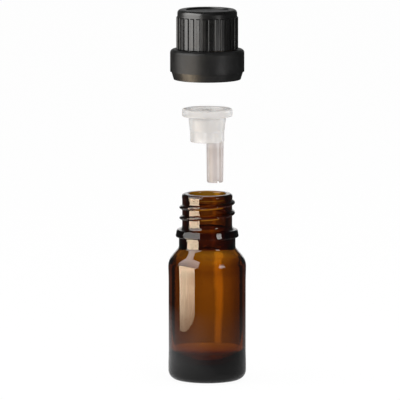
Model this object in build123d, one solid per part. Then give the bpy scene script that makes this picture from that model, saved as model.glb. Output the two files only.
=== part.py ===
from build123d import *
from math import acos, ceil, cos, pi, radians, sin, tan
import os

# Dropper bottle taken apart along its axis, as it is photographed: the glass bottle stands on
# the origin, the dropper insert floats above its mouth and the tamper-evident closure above that.
# Millimetres, +Z up, origin at the middle of the base. Each piece is drawn where it sits when
# the bottle is closed and is then raised to its place in the taken-apart stack.

# Glass body
bottle_height = 60.0
body_r = 12.45
panel_recess = 0.1
heel_r = 3.0
panel_bottom_z = 9.5
panel_top_z = 32.0
panel_ease = 4.0
shoulder_depth = 21.5
shoulder_slope = 0.82
shoulder_round = 5.2
base_push_up = 1.0
base_push_up_r = 6.5
base_ring_r = 8.5
body_wall = 1.9
base_thickness = 4.0
floor_crown = 0.4
inner_heel_r = 5.5
inner_shoulder_round = 3.5

# Glass neck, depths measured down from the lip
lip_r = 8.1
lip_round = 0.8
lip_band_depth = 1.6
mouth_r = 6.0
mouth_round = 0.45
mouth_depth = 15.5
mouth_flare_round = 2.5
neck_root_r = 8.0
neck_flare_depth = 11.5
neck_flare_round = 1.25
bead_r = 10.15
bead_top_r = 9.7
bead_round = 0.35
bead_bottom_depth = 13.9
neck_base_r = 9.05
neck_base_fillet = 1.2

# Screw thread shared by neck and cap
thread_pitch = 3.35
thread_crest_r = 8.9
thread_foot_width = 2.1
thread_crest_width = 1.05
thread_flank_rise = 0.55
thread_top_depth = 2.75
thread_turns = 1.5
thread_fade = 35
thread_top_angle = 0
thread_root_sink = 0.3
thread_step = 15

# Dropper insert, heights measured from the underside of its flange
flange_r = 8.05
flange_height = 2.45
flange_top_round = 0.6
flange_bottom_round = 0.35
plug_length = 8.2
plug_seal_clearance = 0.05
plug_seal_length = 1.1
plug_taper = 0.4
plug_step_depth = 4.4
plug_step = 0.12
plug_lead_in = 0.2
plug_wall = 0.75
dish_r = 5.9
dish_floor = 0.2
dish_edge_round = 0.3
web_thickness = 1.2
nozzle_r = 1.3
nozzle_foot_r = 2.1
nozzle_drop = 0.15
orifice_r = 0.6
tube_offset = 2.5
tube_top_r = 2.85
tube_end_r = 2.6
tube_length = 21.3
tube_end_round = 0.5
tube_bore_r = 1.9
divider_offset = 1.0
divider_thickness = 0.5
vent_r = 0.3
end_notch_depth = 0.6

# Screw cap, heights measured from the underside of the tamper ring
closure_height = 22.4
cap_band_r = 9.55
cap_top_round = 1.1
rib_count = 30
rib_height = 0.33
rib_angle = 7.2
rib_edge_bevel = 0.12
rib_top_drop = 2.0
rib_top_slope = 0.5
cap_top_wall = 1.5
cap_recess_r = 6.9
cap_recess_depth = 0.45
cap_recess_round = 0.3
cap_thread_clearance = 0.15
cap_thread_crest_clearance = 0.2
cap_thread_foot_width = 1.75
cap_thread_crest_width = 0.8
cap_thread_turns = 1.5
cap_thread_margin = 1.15
cap_lead_in = 0.35
cap_guide_clearance = 0.25
cap_guide_height = 2.9
seal_gap = 0.03
seal_ring_r = 7.2
seal_ring_width = 0.7
seal_ring_height = 0.15
pin_clearance = 0.12
pin_length = 0.9

# Tamper ring and its bridges
ring_r = 11.85
ring_height = 9.7
ring_top_round = 1.1
ring_lip_height = 2.6
ring_lip_step = 0.35
ring_lip_end_r = 10.7
ring_lip_round = 0.2
ring_wall = 1.1
ring_ledge_thickness = 1.3
ring_ledge_clearance = 0.4
ring_bead_clearance = 0.1
ring_mouth_wall = 0.5
lug_count = 8
lug_angle = 24
lug_bottom = 2.2
lug_height = 1.6
bridge_count = 10
bridge_height = 0.3
bridge_width = 0.7
bridge_depth = 0.4
bridge_end_gap = 0.02

# Places of the taken-apart stack
insert_lift_height = 24.9
closure_turns_off = 9

# Sizes that follow from the ones above
lip_z = bottle_height
bead_bottom_z = lip_z - bead_bottom_depth
flange_seated_top = lip_z + flange_height
closure_ceiling = closure_height - cap_top_wall
closure_seat_z = flange_seated_top + seal_gap + seal_ring_height - closure_ceiling
closure_raise = insert_lift_height + closure_turns_off * thread_pitch
cap_bottom = ring_height + bridge_height
cap_bore_r = thread_crest_r + cap_thread_clearance
cap_thread_crest_r = neck_root_r + cap_thread_crest_clearance
rib_r = cap_band_r + rib_height
rib_top = closure_height - rib_top_drop
plug_seal_r = mouth_r - plug_seal_clearance
web_bottom = dish_floor - web_thickness
pin_r = orifice_r - pin_clearance
overcut = 1.0
shortest_line = 1e-6


def profile(corners):
    """Face in the XZ plane through (radius, height, corner rounding) corners."""
    places = [Vector(r, 0, z) for r, z, _ in corners]
    rounds = [corner[2] for corner in corners]
    count = len(places)
    runs = []
    arcs = []
    for i in range(count):
        here = places[i]
        back = (places[i - 1] - here).normalized()
        ahead = (places[(i + 1) % count] - here).normalized()
        if rounds[i] == 0:
            runs.append((here, here))
            arcs.append(None)
            continue
        half = acos(max(-1.0, min(1.0, back.dot(ahead)))) / 2
        reach = rounds[i] / tan(half)
        depth = rounds[i] / sin(half) - rounds[i]
        middle = here + (back + ahead).normalized() * depth
        runs.append((here + back * reach, here + ahead * reach))
        arcs.append(middle)
    edges = []
    for i in range(count):
        start = runs[i][1]
        end = runs[(i + 1) % count][0]
        if arcs[i] is not None:
            edges.append(Edge.make_three_point_arc(runs[i][0], arcs[i], runs[i][1]))
        if (end - start).length > shortest_line:
            edges.append(Edge.make_line(start, end))
    return Face(Wire(edges))


def turned(corners):
    """Solid of revolution about Z from a profile."""
    return Solid.revolve(profile(corners), 360, Axis.Z)


def thread_ridge(foot_r, crest_r, foot_width, crest_width, z_start, start_angle, turns, sink):
    """Rounded right-hand helical ridge that fades into its wall at both ends.

    It climbs from z_start at start_angle. A crest_r below foot_r makes an inner thread.
    """
    outward = 1 if crest_r > foot_r else -1
    height = abs(crest_r - foot_r)
    full = turns * 360
    steps = ceil((full + 2 * thread_fade) / thread_step)
    sections = []
    for i in range(steps + 1):
        swept = -thread_fade + (full + 2 * thread_fade) * i / steps
        outside = max(-swept, swept - full, 0) / thread_fade
        share = 0.5 + 0.5 * cos(pi * min(outside, 1))
        rise = height * share - sink / 4 * (1 - share)
        z = z_start + thread_pitch * swept / 360
        foot = foot_r - outward * sink
        flank = foot_r + outward * rise * thread_flank_rise
        crest = foot_r + outward * rise
        foot_half = foot_width * (0.5 + 0.5 * share) / 2
        crest_half = crest_width * (0.5 + 0.5 * share) / 2
        low_foot = Vector(foot, 0, -foot_half)
        low_flank = Vector(flank, 0, -crest_half)
        top = Vector(crest, 0, 0)
        high_flank = Vector(flank, 0, crest_half)
        high_foot = Vector(foot, 0, foot_half)
        outline = Wire(
            [
                Edge.make_line(low_foot, low_flank),
                Edge.make_three_point_arc(low_flank, top, high_flank),
                Edge.make_line(high_flank, high_foot),
                Edge.make_line(high_foot, low_foot),
            ]
        )
        turn = Location((0, 0, z), (0, 0, start_angle + swept))
        sections.append(outline.moved(turn))
    return Solid.make_loft(sections)


def neck_thread_start():
    """Height and angle of the lower end of the neck thread."""
    z = lip_z - thread_top_depth - thread_turns * thread_pitch
    angle = thread_top_angle - thread_turns * 360
    return z, angle


def glass_bottle():
    shoulder_z = bottle_height - shoulder_depth
    neck_base_z = shoulder_z + (body_r - neck_base_r) / shoulder_slope
    flare_z = lip_z - neck_flare_depth
    inner_r = body_r - body_wall
    mouth_end_z = lip_z - mouth_depth
    inner_shoulder_z = mouth_end_z - (inner_r - mouth_r) / shoulder_slope
    floor_z = base_push_up + base_thickness
    body = turned(
        [
            (0, base_push_up, 0),
            (base_push_up_r, base_push_up, 2.0 * base_push_up),
            (base_ring_r, 0, base_push_up / 2),
            (body_r, 0, heel_r),
            (body_r, panel_bottom_z - panel_ease, 0),
            (body_r - panel_recess, panel_bottom_z, 0),
            (body_r - panel_recess, panel_top_z, 0),
            (body_r, panel_top_z + panel_ease, 0),
            (body_r, shoulder_z, shoulder_round),
            (neck_base_r, neck_base_z, neck_base_fillet),
            (neck_base_r, bead_bottom_z, 0),
            (bead_r, bead_bottom_z, bead_round),
            (bead_top_r, flare_z, bead_round),
            (neck_root_r, flare_z, neck_flare_round),
            (neck_root_r, lip_z - lip_band_depth, 0),
            (lip_r, lip_z - lip_band_depth + (lip_r - neck_root_r), 0),
            (lip_r, lip_z, lip_round),
            (mouth_r, lip_z, mouth_round),
            (mouth_r, mouth_end_z, mouth_flare_round),
            (inner_r, inner_shoulder_z, inner_shoulder_round),
            (inner_r, floor_z, inner_heel_r),
            (0, floor_z + floor_crown, 0),
        ]
    )
    start_z, start_angle = neck_thread_start()
    thread = thread_ridge(
        neck_root_r,
        thread_crest_r,
        thread_foot_width,
        thread_crest_width,
        start_z,
        start_angle,
        thread_turns,
        thread_root_sink,
    )
    return body + thread


def dropper_insert():
    plug_step_r = plug_seal_r - plug_taper
    plug_end_r = plug_step_r - plug_step
    inner_r = plug_end_r - plug_wall
    shell = turned(
        [
            (0, flange_height - nozzle_drop, 0),
            (nozzle_r, flange_height - nozzle_drop, 0),
            (nozzle_foot_r, dish_floor, 0),
            (dish_r - dish_floor, dish_floor, 0),
            (dish_r, flange_height, dish_edge_round),
            (flange_r, flange_height, flange_top_round),
            (flange_r, 0, flange_bottom_round),
            (plug_seal_r, 0, 0),
            (plug_seal_r, -plug_seal_length, 0),
            (plug_step_r, -plug_step_depth, 0),
            (plug_end_r, -plug_step_depth - 3 * plug_step, 0),
            (plug_end_r, -plug_length + 2 * plug_lead_in, 0),
            (plug_end_r - plug_lead_in, -plug_length, 0),
            (inner_r, -plug_length, 0),
            (inner_r, web_bottom, 0),
            (0, web_bottom, 0),
        ]
    )
    tube = turned(
        [
            (0, web_bottom / 2, 0),
            (tube_top_r, web_bottom / 2, 0),
            (tube_end_r, -tube_length, tube_end_round),
            (0, -tube_length, 0),
        ]
    ).moved(Location((tube_offset, 0, 0)))
    insert = shell + tube
    channel_top = dish_floor - web_thickness / 3
    channel_length = tube_length + channel_top
    bore = Solid.make_cylinder(tube_bore_r, channel_length).moved(Location((tube_offset, 0, -tube_length)))
    divider = Solid.make_box(divider_thickness, 4 * tube_bore_r, channel_length).moved(
        Location((tube_offset + divider_offset - divider_thickness / 2, -2 * tube_bore_r, -tube_length))
    )
    insert -= bore - divider
    notch = Solid.make_box(divider_thickness, 4 * tube_top_r, end_notch_depth).moved(
        Location((tube_offset + divider_offset - divider_thickness / 2, -2 * tube_top_r, -tube_length))
    )
    insert -= notch
    orifice = Solid.make_cylinder(orifice_r, flange_height + web_thickness).moved(
        Location((0, 0, channel_top - orifice_r))
    )
    pocket_length = tube_offset - tube_bore_r + 2 * orifice_r
    pocket = Solid.make_box(pocket_length, 2 * orifice_r, 2 * orifice_r).moved(
        Location((-orifice_r / 3, -orifice_r, channel_top - 2 * orifice_r))
    )
    vent_x = tube_offset + (divider_offset + divider_thickness / 2 + tube_bore_r) / 2
    vent = Solid.make_cylinder(vent_r, web_thickness + overcut).moved(
        Location((vent_x, 0, channel_top - overcut / 2))
    )
    insert -= orifice + pocket
    insert -= vent
    return insert.moved(Location((0, 0, lip_z + insert_lift_height)))


def grip_ribs():
    """Straight ribs with bevelled edges whose tops slope back into the band above them."""
    half_width = rib_r * radians(rib_angle / 2)
    foot_r = cap_band_r - rib_height
    side = profile(
        [
            (foot_r, cap_bottom, 0),
            (rib_r, cap_bottom, 0),
            (rib_r, rib_top - rib_top_slope, 0),
            (foot_r, rib_top, 0),
        ]
    )
    rib = Solid.extrude(side, Vector(0, 2 * half_width, 0)).moved(Location((0, -half_width, 0)))
    long_edges = [e for e in rib.edges().filter_by(Axis.Z) if e.center().X > cap_band_r]
    rib = rib.chamfer(rib_edge_bevel, None, long_edges)
    return [rib.rotate(Axis.Z, 360 * i / rib_count) for i in range(rib_count)]


def screw_cap():
    guide_r = max(flange_r, lip_r) + cap_guide_clearance
    guide_z = closure_ceiling - cap_guide_height
    guide_cone = cap_bore_r - guide_r
    body = turned(
        [
            (0, closure_height - cap_recess_depth, 0),
            (cap_recess_r, closure_height - cap_recess_depth, cap_recess_round),
            (cap_recess_r, closure_height, 0),
            (cap_band_r, closure_height, cap_top_round),
            (cap_band_r, cap_bottom, 0),
            (cap_bore_r + cap_lead_in, cap_bottom, 0),
            (cap_bore_r, cap_bottom + cap_lead_in, 0),
            (cap_bore_r, guide_z - guide_cone, 0),
            (guide_r, guide_z, 0),
            (guide_r, closure_ceiling, 0),
            (seal_ring_r + seal_ring_width, closure_ceiling, 0),
            (seal_ring_r + seal_ring_width / 2, closure_ceiling - seal_ring_height, 0),
            (seal_ring_r, closure_ceiling, 0),
            (pin_r, closure_ceiling, 0),
            (pin_r, closure_ceiling - pin_length, pin_r / 2),
            (0, closure_ceiling - pin_length, 0),
        ]
    )
    cap = body.fuse(*grip_ribs())
    start_z, start_angle = neck_thread_start()
    low_z = start_z - thread_pitch / 2 - closure_seat_z
    first_z = cap_bottom + cap_thread_margin
    skipped = (first_z - low_z) / thread_pitch * 360
    thread = thread_ridge(
        cap_bore_r,
        cap_thread_crest_r,
        cap_thread_foot_width,
        cap_thread_crest_width,
        first_z,
        start_angle + skipped,
        cap_thread_turns,
        thread_root_sink,
    )
    cap += thread
    return cap.moved(Location((0, 0, closure_seat_z + closure_raise)))


def tamper_ring():
    ledge_r = thread_crest_r + ring_ledge_clearance
    pocket_r = ring_r - ring_wall
    ledge_z = ring_height - ring_ledge_thickness
    lug_r = bead_r + ring_bead_clearance
    mouth_inner_r = ring_lip_end_r - ring_mouth_wall
    lip_top_r = ring_r - ring_lip_step
    ring = turned(
        [
            (ring_r, ring_height, ring_top_round),
            (ring_r, ring_lip_height, 0),
            (lip_top_r, ring_lip_height, 0),
            (ring_lip_end_r, 0, ring_lip_round),
            (mouth_inner_r, 0, 0),
            (mouth_inner_r, lug_bottom / 2, 0),
            (pocket_r, ring_lip_height, 0),
            (pocket_r, ledge_z, 0),
            (ledge_r, ledge_z, 0),
            (ledge_r, ring_height, 0),
        ]
    )
    lug_top = lug_bottom + lug_height
    lug_face = profile(
        [
            (pocket_r + ring_wall / 3, lug_bottom - ring_wall / 3, 0),
            (lug_r, lug_top - lug_height / 2, 0),
            (lug_r, lug_top, 0),
            (pocket_r + ring_wall / 3, lug_top, 0),
        ]
    )
    lug = Solid.revolve(lug_face, lug_angle, Axis.Z)
    lugs = [lug.rotate(Axis.Z, 360 * i / lug_count) for i in range(lug_count)]
    ring = ring.fuse(*lugs)
    return ring.moved(Location((0, 0, closure_seat_z + closure_raise)))


def breakaway_bridges():
    inner_r = thread_crest_r + ring_ledge_clearance
    post = Solid.make_box(bridge_depth, bridge_width, bridge_height - bridge_end_gap).moved(
        Location((inner_r, -bridge_width / 2, ring_height))
    )
    posts = [post.rotate(Axis.Z, 360 * (i + 0.5) / bridge_count) for i in range(bridge_count)]
    return Compound(posts).moved(Location((0, 0, closure_seat_z + closure_raise)))


os.makedirs("parts", exist_ok=True)
pieces = {
    "glass_bottle": glass_bottle(),
    "dropper_insert": dropper_insert(),
    "screw_cap": screw_cap(),
    "tamper_ring": tamper_ring(),
    "breakaway_bridges": breakaway_bridges(),
}
for name, shape in pieces.items():
    export_step(shape, "parts/" + name + ".step")
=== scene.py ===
from math import cos, radians, sin

import bpy
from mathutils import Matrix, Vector

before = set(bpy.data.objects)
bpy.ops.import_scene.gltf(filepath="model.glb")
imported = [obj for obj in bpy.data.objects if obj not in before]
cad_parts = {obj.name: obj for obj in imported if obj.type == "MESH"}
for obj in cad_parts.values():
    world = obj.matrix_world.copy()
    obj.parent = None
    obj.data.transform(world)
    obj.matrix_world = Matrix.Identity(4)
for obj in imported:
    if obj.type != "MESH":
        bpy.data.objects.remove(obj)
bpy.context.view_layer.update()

# The photograph's frame: its width in pixels, the scale in pixels per metre, where the object's
# axis stands and where the base meets the ground
IMAGE_PX = 400
SCALE_PX = 3125.0
AXIS_PX = 207.2
BASE_PX = 379.3

# The camera: how steeply it looks down, and its distance and its sensor's width in metres
CAMERA_ELEVATION = radians(7.5)
CAMERA_DISTANCE = 2.0
SENSOR = 0.036

WHITE = (1.0, 1.0, 1.0)

# The rays that see the white surroundings instead of the room's softer light
SIGHT = ("Camera", "Glossy", "Transmission")

# The room's soft light, the white paper of the floor and the share of it that glows white
ROOM_LIGHT = 0.9
PAPER = (0.85, 0.85, 0.85, 1.0)
FLOOR_GLOW = 0.94
FLOOR_SIDE = 6.0

# Lamps, in watts and metres: the window stands to the left, turned this far from the front
WINDOW_POWER = 0.25
WINDOW_TURN = radians(84)
WINDOW_REACH = 0.34
WINDOW_HEIGHT = 0.17
TOP_POWER = 1.2
FILL_POWER = 1.0

# Cards: the two places on the table that each one stands between, and its height span
WINDOW_CARD = ((-0.11, -0.006), (-0.082, -0.113), 0.002, 0.058)
SKY_CARD = ((-0.2, 0.1), (-0.1, -0.2), 0.065, 0.3)
SIDE_CARD = ((0.069, -0.098), (0.095, -0.074), 0.05, 0.105)
BACKDROP_CARD = ((-0.05, 0.06), (0.05, 0.06), 0, 0.06)
FLAG_X = 0.07
FLAG_FRONT = -0.2
FLAG_BACK = 0.12
FLAG_TOP = 0.06

# Strengths and colours of the cards: the window and the sky above it, the strip on the right,
# the streak behind the glass, the table's sheen round the bottle's foot and the dark studio
WINDOW_STRENGTH = 15.0
WINDOW_COLOUR = (1.0, 0.8, 0.56)
SKY_STRENGTH = 5.0
SKY_COLOUR = (1.0, 0.99, 0.97)
SIDE_STRENGTH = 6.0
SIDE_COLOUR = (1.0, 0.98, 0.96)
STREAK_STRENGTH = 2.2
TABLE_SHEEN = 0.9
DARK_CARD = 0.05
BACK_CARD = 0.25

# The dark studio in metres: half its width at the back and at the front, where back and front
# stand, how high it is and where its back card begins
STUDIO_BACK_HALF = 0.12
STUDIO_FRONT_HALF = 0.3
STUDIO_BACK = 0.3
STUDIO_FRONT = -0.6
STUDIO_TOP = 0.4
BACK_CARD_BOTTOM = 0.135

# The reflected table top: how far it reaches and how much it lies above the floor
TABLE_SIDE = 2.0
TABLE_LIFT = 0.0002

# How the cards fade: a span in metres and the strength, or its share, at the span's two ends
WINDOW_FADE = ((0.0, 0.022), (0.15, 1.0))
SKY_FADE = ((0.065, 0.2), (0.6, 1.0))
SIDE_FADE_LOW = ((0.05, 0.06), (0.1, 1.0))
SIDE_FADE_HIGH = ((0.075, 0.09), (1.0, 0.3))
TABLE_FADE_AWAY = ((0.05, 0.17), (TABLE_SHEEN, 0.0))
TABLE_FADE_ACROSS = ((-0.07, 0.02), (1.0, 0.3))
STREAK_FADE_HIGH = ((0.032, 0.038), (1.0, 0.45))
STREAK_FADE_LOW = ((0.0, 0.02), (0.5, 1.0))

# The window's curtain: how far its folds dim and brighten the light
CURTAIN = (0.6, 1.25)

# The streak behind the glass: brightness levels across the card between two places, and how
# far its sides and its top wander
STREAK_SPAN = (-0.012, 0.028)
STREAK_SWAY = 0.006
STREAK_RISE = 0.012
STREAK_LEVELS = [
    (0.0, 0.35),
    (0.2, 0.46),
    (0.46, 0.46),
    (0.5, 1.0),
    (0.56, 1.0),
    (0.6, 0.48),
    (1.0, 0.3),
]

# Amber glass: its refraction, its span of roughness, and the colour and density of its depth
GLASS_REFRACTION = 1.52
GLASS_ROUGHNESS = (0.0, 0.02)
AMBER = (0.756, 0.569, 0.0, 1.0)
AMBER_DENSITY = 2000.0

# Polyethylene: its refraction, its span of roughness, the milky share face on and edge on, two
# shades each for tube and plug, the tube's darker ones being painted shade on the lower part, and
# the heights between which one look turns into the other
MILKY_REFRACTION = 1.5
MILKY_ROUGHNESS = (0.3, 0.42)
MILKY_SHARE = (0.4, 1.0)
TUBE_PAINTED_SHADE_TONES = ((0.5, 0.44, 0.42), (0.57, 0.52, 0.5))
PLUG_SHADES = ((0.66, 0.645, 0.635), (0.74, 0.73, 0.72))
SHADED_TUBE_TO_PLUG = (0.0745, 0.0775)


def new_material(name):
    """An empty node material with its output, and the principled shader joined to it."""
    material = bpy.data.materials.new(name)
    material.use_nodes = True
    tree = material.node_tree
    tree.nodes.clear()
    output = tree.nodes.new("ShaderNodeOutputMaterial")
    shader = tree.nodes.new("ShaderNodeBsdfPrincipled")
    tree.links.new(shader.outputs["BSDF"], output.inputs["Surface"])
    return material, tree, shader, output


def noise(tree, scale, detail=3.0, roughness=0.5, stretch=(1, 1, 1)):
    """Noise in object space, in turns per metre, stretched along the axes."""
    place = tree.nodes.new("ShaderNodeTexCoord")
    mapping = tree.nodes.new("ShaderNodeMapping")
    mapping.inputs["Scale"].default_value = stretch
    texture = tree.nodes.new("ShaderNodeTexNoise")
    texture.inputs["Scale"].default_value = scale
    texture.inputs["Detail"].default_value = detail
    texture.inputs["Roughness"].default_value = roughness
    tree.links.new(place.outputs["Object"], mapping.inputs["Vector"])
    tree.links.new(mapping.outputs["Vector"], texture.inputs["Vector"])
    return texture.outputs["Fac"]


def spread(tree, value, low, high):
    """Maps a noise value to the span from low to high."""
    return map_range(tree, value, (0.3, 0.7), (low, high))


def map_range(tree, value, source, target):
    """Maps a value from the source span to the target span and holds it there."""
    change = tree.nodes.new("ShaderNodeMapRange")
    change.inputs["From Min"].default_value, change.inputs["From Max"].default_value = source
    change.inputs["To Min"].default_value, change.inputs["To Max"].default_value = target
    tree.links.new(value, change.inputs["Value"])
    return change.outputs["Result"]


def combine(tree, operation, *values):
    """One step of arithmetic on sockets and plain numbers."""
    step = tree.nodes.new("ShaderNodeMath")
    step.operation = operation
    for socket, value in zip(step.inputs, values):
        if isinstance(value, (int, float)):
            socket.default_value = value
        else:
            tree.links.new(value, socket)
    return step.outputs["Value"]


def tint(tree, value, first, second):
    """Mixes two colours, each three numbers or a socket, by a value."""
    mix = tree.nodes.new("ShaderNodeMix")
    mix.data_type = "RGBA"
    tree.links.new(value, mix.inputs["Factor"])
    for name, colour in (("A", first), ("B", second)):
        if isinstance(colour, tuple):
            mix.inputs[name].default_value = (*colour, 1.0)
        else:
            tree.links.new(colour, mix.inputs[name])
    return mix.outputs["Result"]


def bump(tree, shader, height, strength, distance):
    """Raises the surface's shading by a height value."""
    relief = tree.nodes.new("ShaderNodeBump")
    relief.inputs["Strength"].default_value = strength
    relief.inputs["Distance"].default_value = distance
    tree.links.new(height, relief.inputs["Height"])
    tree.links.new(relief.outputs["Normal"], shader.inputs["Normal"])


def object_place(tree):
    """The X, Y and Z sockets of the place on the object."""
    split = tree.nodes.new("ShaderNodeSeparateXYZ")
    place = tree.nodes.new("ShaderNodeTexCoord")
    tree.links.new(place.outputs["Object"], split.inputs["Vector"])
    return split.outputs


def seen_by(tree, *kinds):
    """1 for the rays of the named kinds and 0 for the others."""
    rays = tree.nodes.new("ShaderNodeLightPath")
    total = rays.outputs["Is " + kinds[0] + " Ray"]
    for kind in kinds[1:]:
        total = combine(tree, "MAXIMUM", total, rays.outputs["Is " + kind + " Ray"])
    return total


def choose(tree, share, usual, special):
    """Mixes two shaders by a share."""
    mix = tree.nodes.new("ShaderNodeMixShader")
    tree.links.new(share, mix.inputs[0])
    tree.links.new(usual, mix.inputs[1])
    tree.links.new(special, mix.inputs[2])
    return mix.outputs["Shader"]


def amber_glass():
    """Thick moulded brown glass: clear, slightly wavy, coloured by its depth."""
    material, tree, shader, output = new_material("amber_glass")
    shader.inputs["Base Color"].default_value = (*WHITE, 1.0)
    shader.inputs["Transmission Weight"].default_value = 1.0
    shader.inputs["IOR"].default_value = GLASS_REFRACTION
    haze = noise(tree, scale=220.0, detail=4.0)
    tree.links.new(spread(tree, haze, *GLASS_ROUGHNESS), shader.inputs["Roughness"])
    waves = noise(tree, scale=130.0, detail=2.0, stretch=(1, 1, 0.5))
    bump(tree, shader, waves, strength=0.2, distance=0.0003)
    depth = tree.nodes.new("ShaderNodeVolumeAbsorption")
    depth.inputs["Color"].default_value = AMBER
    depth.inputs["Density"].default_value = AMBER_DENSITY
    tree.links.new(depth.outputs["Volume"], output.inputs["Volume"])
    return material


def natural_polyethylene():
    """Thin milky plastic: each wall lets most light through, and less where it is seen edge on."""
    material, tree, shader, output = new_material("natural_polyethylene")
    cloud = spread(tree, noise(tree, scale=180.0), 0.0, 1.0)
    plug = tint(tree, cloud, *PLUG_SHADES)
    # The tube's shades are darker than the plug's: painted shade on the lower part of one plastic
    shaded_tube = tint(tree, cloud, *TUBE_PAINTED_SHADE_TONES)
    height = map_range(tree, object_place(tree)["Z"], SHADED_TUBE_TO_PLUG, (0.0, 1.0))
    tree.links.new(tint(tree, height, shaded_tube, plug), shader.inputs["Base Color"])
    shader.inputs["Specular IOR Level"].default_value = 0.4
    shader.inputs["Subsurface Weight"].default_value = 0.5
    shader.inputs["Subsurface Radius"].default_value = (1.0, 0.9, 0.8)
    shader.inputs["Subsurface Scale"].default_value = 0.0015
    shader.inputs["IOR"].default_value = MILKY_REFRACTION
    satin = spread(tree, noise(tree, scale=900.0, detail=4.0), *MILKY_ROUGHNESS)
    tree.links.new(satin, shader.inputs["Roughness"])
    bump(tree, shader, noise(tree, scale=1400.0), strength=0.12, distance=0.0001)
    clear = tree.nodes.new("ShaderNodeBsdfTransparent")
    clear.inputs["Color"].default_value = (0.985, 0.975, 0.965, 1.0)
    slant = tree.nodes.new("ShaderNodeLayerWeight")
    slant.inputs["Blend"].default_value = 0.5
    edge = combine(tree, "POWER", slant.outputs["Facing"], 2.0)
    haze = map_range(tree, edge, (0.0, 1.0), MILKY_SHARE)
    milky = choose(tree, haze, clear.outputs["BSDF"], shader.outputs["BSDF"])
    tree.links.new(milky, output.inputs["Surface"])
    return material


def black_plastic(name, dark, light, shine, gloss):
    """Black moulding with a fine grain: two shades, the shine and a span of roughness."""
    material, tree, shader, _ = new_material(name)
    cloud = spread(tree, noise(tree, scale=260.0, detail=4.0), 0.0, 1.0)
    colour = tint(tree, cloud, (dark, dark, dark), (light, light, light))
    tree.links.new(colour, shader.inputs["Base Color"])
    shader.inputs["Specular IOR Level"].default_value = shine
    satin = spread(tree, noise(tree, scale=500.0, detail=5.0), *gloss)
    tree.links.new(satin, shader.inputs["Roughness"])
    bump(tree, shader, noise(tree, scale=3500.0), strength=0.18, distance=0.00006)
    return material


def dress(names, material):
    """Gives the material to every slot of the named nodes."""
    for name in names:
        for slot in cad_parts[name].material_slots:
            slot.material = material


def make_camera():
    """A long lens a little above the object, framed as the photograph is."""
    middle_x = (IMAGE_PX / 2 - AXIS_PX) / SCALE_PX
    middle_z = (BASE_PX - IMAGE_PX / 2) / (SCALE_PX * cos(CAMERA_ELEVATION))
    aim = Vector((middle_x, 0, middle_z))
    data = bpy.data.cameras.new("camera")
    data.lens = 1000 * SENSOR * CAMERA_DISTANCE * SCALE_PX / IMAGE_PX
    data.sensor_width = 1000 * SENSOR
    data.clip_start = 0.05
    data.clip_end = 50
    camera = bpy.data.objects.new("camera", data)
    offset = Vector((0, -cos(CAMERA_ELEVATION), sin(CAMERA_ELEVATION))) * CAMERA_DISTANCE
    camera.location = aim + offset
    camera.rotation_euler = (radians(90) - CAMERA_ELEVATION, 0, 0)
    bpy.context.scene.collection.objects.link(camera)
    bpy.context.scene.camera = camera


def area_light(name, place, target, size, power, colour=WHITE):
    """A soft rectangular lamp that looks at a point."""
    data = bpy.data.lights.new(name, "AREA")
    data.shape = "RECTANGLE"
    data.size, data.size_y = size
    data.energy = power
    data.color = colour
    lamp = bpy.data.objects.new(name, data)
    lamp.location = place
    lamp.rotation_euler = (Vector(target) - Vector(place)).to_track_quat("-Z", "Y").to_euler()
    bpy.context.scene.collection.objects.link(lamp)
    return lamp


def make_lights():
    """A weak window on the left, and two lamps that only light matt surfaces."""
    side = -sin(WINDOW_TURN) * WINDOW_REACH
    ahead = -cos(WINDOW_TURN) * WINDOW_REACH
    area_light(
        "window",
        place=(side, ahead, WINDOW_HEIGHT),
        target=(0, 0, 0.09),
        size=(0.18, 0.2),
        power=WINDOW_POWER,
        colour=(1.0, 0.97, 0.93),
    )
    top = area_light(
        "top",
        place=(0.02, -0.1, 0.6),
        target=(0, 0, 0.05),
        size=(0.4, 0.4),
        power=TOP_POWER,
    )
    fill = area_light(
        "fill",
        place=(0.21, -0.45, 0.1),
        target=(0, 0, 0.08),
        size=(0.2, 0.2),
        power=FILL_POWER,
    )
    for lamp in (top, fill):
        lamp.visible_glossy = False


def make_world():
    """White for the eye, also in mirrors and through glass, and softer light for the rest."""
    world = bpy.data.worlds.new("studio")
    world.use_nodes = True
    tree = world.node_tree
    tree.nodes.clear()
    output = tree.nodes.new("ShaderNodeOutputWorld")

    def light(strength):
        background = tree.nodes.new("ShaderNodeBackground")
        background.inputs["Color"].default_value = (*WHITE, 1.0)
        background.inputs["Strength"].default_value = strength
        return background.outputs["Background"]

    view = choose(tree, seen_by(tree, *SIGHT), light(ROOM_LIGHT), light(1.0))
    tree.links.new(view, output.inputs["Surface"])
    bpy.context.scene.world = world


def emission(tree, strength, colour=WHITE):
    """Light of the given strength and colour, for surfaces that only show themselves."""
    glow = tree.nodes.new("ShaderNodeEmission")
    glow.inputs["Color"].default_value = (*colour, 1.0)
    if isinstance(strength, float):
        glow.inputs["Strength"].default_value = strength
    else:
        tree.links.new(strength, glow.inputs["Strength"])
    return glow.outputs["Emission"]


def level_corners(side, height):
    """The corners of a level square round the middle."""
    return [
        (-side, -side, height),
        (side, -side, height),
        (side, side, height),
        (-side, side, height),
    ]


def stage_sheet(name, corners):
    """A flat four-cornered piece of the stage with an empty node material."""
    mesh = bpy.data.meshes.new(name)
    mesh.from_pydata(corners, [], [(0, 1, 2, 3)])
    sheet = bpy.data.objects.new(name, mesh)
    bpy.context.scene.collection.objects.link(sheet)
    material = bpy.data.materials.new(name)
    material.use_nodes = True
    tree = material.node_tree
    tree.nodes.clear()
    mesh.materials.append(material)
    return sheet, tree, tree.nodes.new("ShaderNodeOutputMaterial")


def seen_only_by(sheet, glossy=False, transmission=False):
    """Hides a card from the camera and the light, so that only some rays meet it."""
    sheet.visible_camera = False
    sheet.visible_diffuse = False
    sheet.visible_shadow = False
    sheet.visible_volume_scatter = False
    sheet.visible_glossy = glossy
    sheet.visible_transmission = transmission


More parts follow.
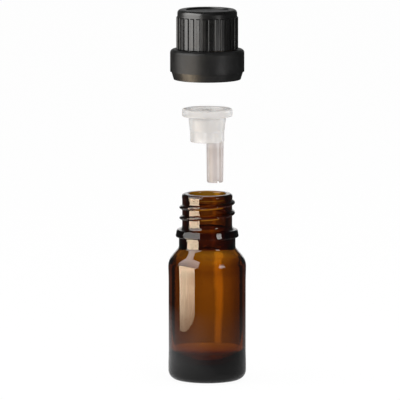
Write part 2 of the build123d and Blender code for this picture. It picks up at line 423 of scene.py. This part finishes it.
def make_floor():
    """A wide white table that keeps the shadow."""
    _, tree, output = stage_sheet("floor", level_corners(FLOOR_SIDE, 0))
    paper = tree.nodes.new("ShaderNodeBsdfDiffuse")
    paper.inputs["Color"].default_value = PAPER
    share = combine(tree, "MULTIPLY", seen_by(tree, *SIGHT), FLOOR_GLOW)
    surface = choose(tree, share, paper.outputs["BSDF"], emission(tree, 1.0))
    tree.links.new(surface, output.inputs["Surface"])


def upright_card(name, start, end, low, high):
    """A standing card between two places on the table."""
    corners = [(*start, low), (*end, low), (*end, high), (*start, high)]
    return stage_sheet(name, corners)


def mirrored_card(card, tree, output, colour, strength):
    """Makes the card a glowing surface that only reflections show."""
    glow = emission(tree, strength, colour)
    clear = tree.nodes.new("ShaderNodeBsdfTransparent")
    surface = choose(tree, seen_by(tree, "Transmission"), glow, clear.outputs["BSDF"])
    tree.links.new(surface, output.inputs["Surface"])
    seen_only_by(card, glossy=True)


def make_window_card():
    """The bright window that the glass mirrors on its left as one warm strip."""
    card, tree, output = upright_card("window_card", *WINDOW_CARD)
    fade = map_range(tree, object_place(tree)["Z"], *WINDOW_FADE)
    curtain = spread(tree, noise(tree, scale=160.0, detail=4.0, roughness=0.65), *CURTAIN)
    shade = combine(tree, "MULTIPLY", fade, curtain)
    strength = combine(tree, "MULTIPLY", shade, WINDOW_STRENGTH)
    mirrored_card(card, tree, output, WINDOW_COLOUR, strength)


def make_sky_card():
    """The upper part of the same window, which lights the closure's left side."""
    card, tree, output = upright_card("sky_card", *SKY_CARD)
    fade = map_range(tree, object_place(tree)["Z"], *SKY_FADE)
    strength = combine(tree, "MULTIPLY", fade, SKY_STRENGTH)
    mirrored_card(card, tree, output, SKY_COLOUR, strength)


def make_side_card():
    """A weaker strip of light on the right that the insert and the ribs catch."""
    card, tree, output = upright_card("side_card", *SIDE_CARD)
    height = object_place(tree)["Z"]
    low = map_range(tree, height, *SIDE_FADE_LOW)
    high = map_range(tree, height, *SIDE_FADE_HIGH)
    fade = combine(tree, "MULTIPLY", low, high)
    strength = combine(tree, "MULTIPLY", fade, SIDE_STRENGTH)
    mirrored_card(card, tree, output, SIDE_COLOUR, strength)


def make_table_card():
    """The dark table top that reflections show, with a sheen round the bottle's foot."""
    card, tree, output = stage_sheet("table_card", level_corners(TABLE_SIDE, TABLE_LIFT))
    place = tree.nodes.new("ShaderNodeTexCoord")
    reach = tree.nodes.new("ShaderNodeVectorMath")
    reach.operation = "LENGTH"
    tree.links.new(place.outputs["Object"], reach.inputs[0])
    near = map_range(tree, reach.outputs["Value"], *TABLE_FADE_AWAY)
    lit = map_range(tree, object_place(tree)["X"], *TABLE_FADE_ACROSS)
    sheen = combine(tree, "MULTIPLY", near, lit)
    mirrored_card(card, tree, output, WHITE, combine(tree, "ADD", sheen, DARK_CARD))


def make_dark_cards():
    """A dark studio that shiny faces mirror; its back is open and white below a dim card."""
    back_left, back_right = (-STUDIO_BACK_HALF, STUDIO_BACK), (STUDIO_BACK_HALF, STUDIO_BACK)
    front_left, front_right = (-STUDIO_FRONT_HALF, STUDIO_FRONT), (STUDIO_FRONT_HALF, STUDIO_FRONT)
    walls = [
        ("left_card", back_left, front_left, 0, DARK_CARD),
        ("right_card", back_right, front_right, 0, DARK_CARD),
        ("front_card", front_left, front_right, 0, DARK_CARD),
        ("back_card", back_left, back_right, BACK_CARD_BOTTOM, BACK_CARD),
    ]
    for name, start, end, low, level in walls:
        card, tree, output = upright_card(name, start, end, low, STUDIO_TOP)
        mirrored_card(card, tree, output, WHITE, level)
    corners = (front_left, front_right, back_right, back_left)
    roof = [(*corner, STUDIO_TOP) for corner in corners]
    card, tree, output = stage_sheet("roof_card", roof)
    mirrored_card(card, tree, output, WHITE, DARK_CARD)


def make_flags():
    """Dark cards at both sides, which give the clear glass its dark edges."""
    for x in (-FLAG_X, FLAG_X):
        flag, tree, output = upright_card("flag", (x, FLAG_FRONT), (x, FLAG_BACK), 0, FLAG_TOP)
        tree.links.new(emission(tree, DARK_CARD), output.inputs["Surface"])
        seen_only_by(flag, transmission=True)


def make_backdrop_card():
    """What shows through the glass: a bright upright streak between dimmer parts of a room."""
    card, tree, output = upright_card("backdrop_card", *BACKDROP_CARD)
    place = object_place(tree)
    side_drift = noise(tree, scale=45.0, detail=2.0)
    sway = combine(tree, "MULTIPLY_ADD", side_drift, STREAK_SWAY, place["X"])
    across = map_range(tree, sway, STREAK_SPAN, (0.0, 1.0))
    ramp = tree.nodes.new("ShaderNodeValToRGB")
    stops = ramp.color_ramp.elements
    while len(stops) < len(STREAK_LEVELS):
        stops.new(0.5)
    for stop, (at, level) in zip(stops, STREAK_LEVELS):
        stop.position = at
        stop.color = (level, level, level, 1.0)
    tree.links.new(across, ramp.inputs["Fac"])
    top_drift = noise(tree, scale=60.0, detail=2.0)
    rise = combine(tree, "MULTIPLY_ADD", top_drift, STREAK_RISE, place["Z"])
    upper = map_range(tree, rise, *STREAK_FADE_HIGH)
    lower = map_range(tree, place["Z"], *STREAK_FADE_LOW)
    glow = tree.nodes.new("ShaderNodeEmission")
    fade = combine(tree, "MULTIPLY", upper, lower)
    strength = combine(tree, "MULTIPLY", fade, STREAK_STRENGTH)
    tree.links.new(strength, glow.inputs["Strength"])
    tree.links.new(ramp.outputs["Color"], glow.inputs["Color"])
    tree.links.new(glow.outputs["Emission"], output.inputs["Surface"])
    seen_only_by(card, transmission=True)


dress(["glass_bottle"], amber_glass())
dress(["dropper_insert"], natural_polyethylene())
# The cap's black is darker than the ring's: painted shade in the grooves between its ribs
dress(
    ["screw_cap"],
    black_plastic("cap_plastic_painted_shade", dark=0.001, light=0.004, shine=0.8, gloss=(0.25, 0.36)),
)
dress(
    ["tamper_ring", "breakaway_bridges"],
    black_plastic("ring_plastic", dark=0.005, light=0.01, shine=0.32, gloss=(0.36, 0.48)),
)
make_camera()
make_lights()
make_world()
make_floor()
make_window_card()
make_sky_card()
make_side_card()
make_table_card()
make_dark_cards()
make_flags()
make_backdrop_card()
bpy.context.scene.view_settings.view_transform = "Standard"
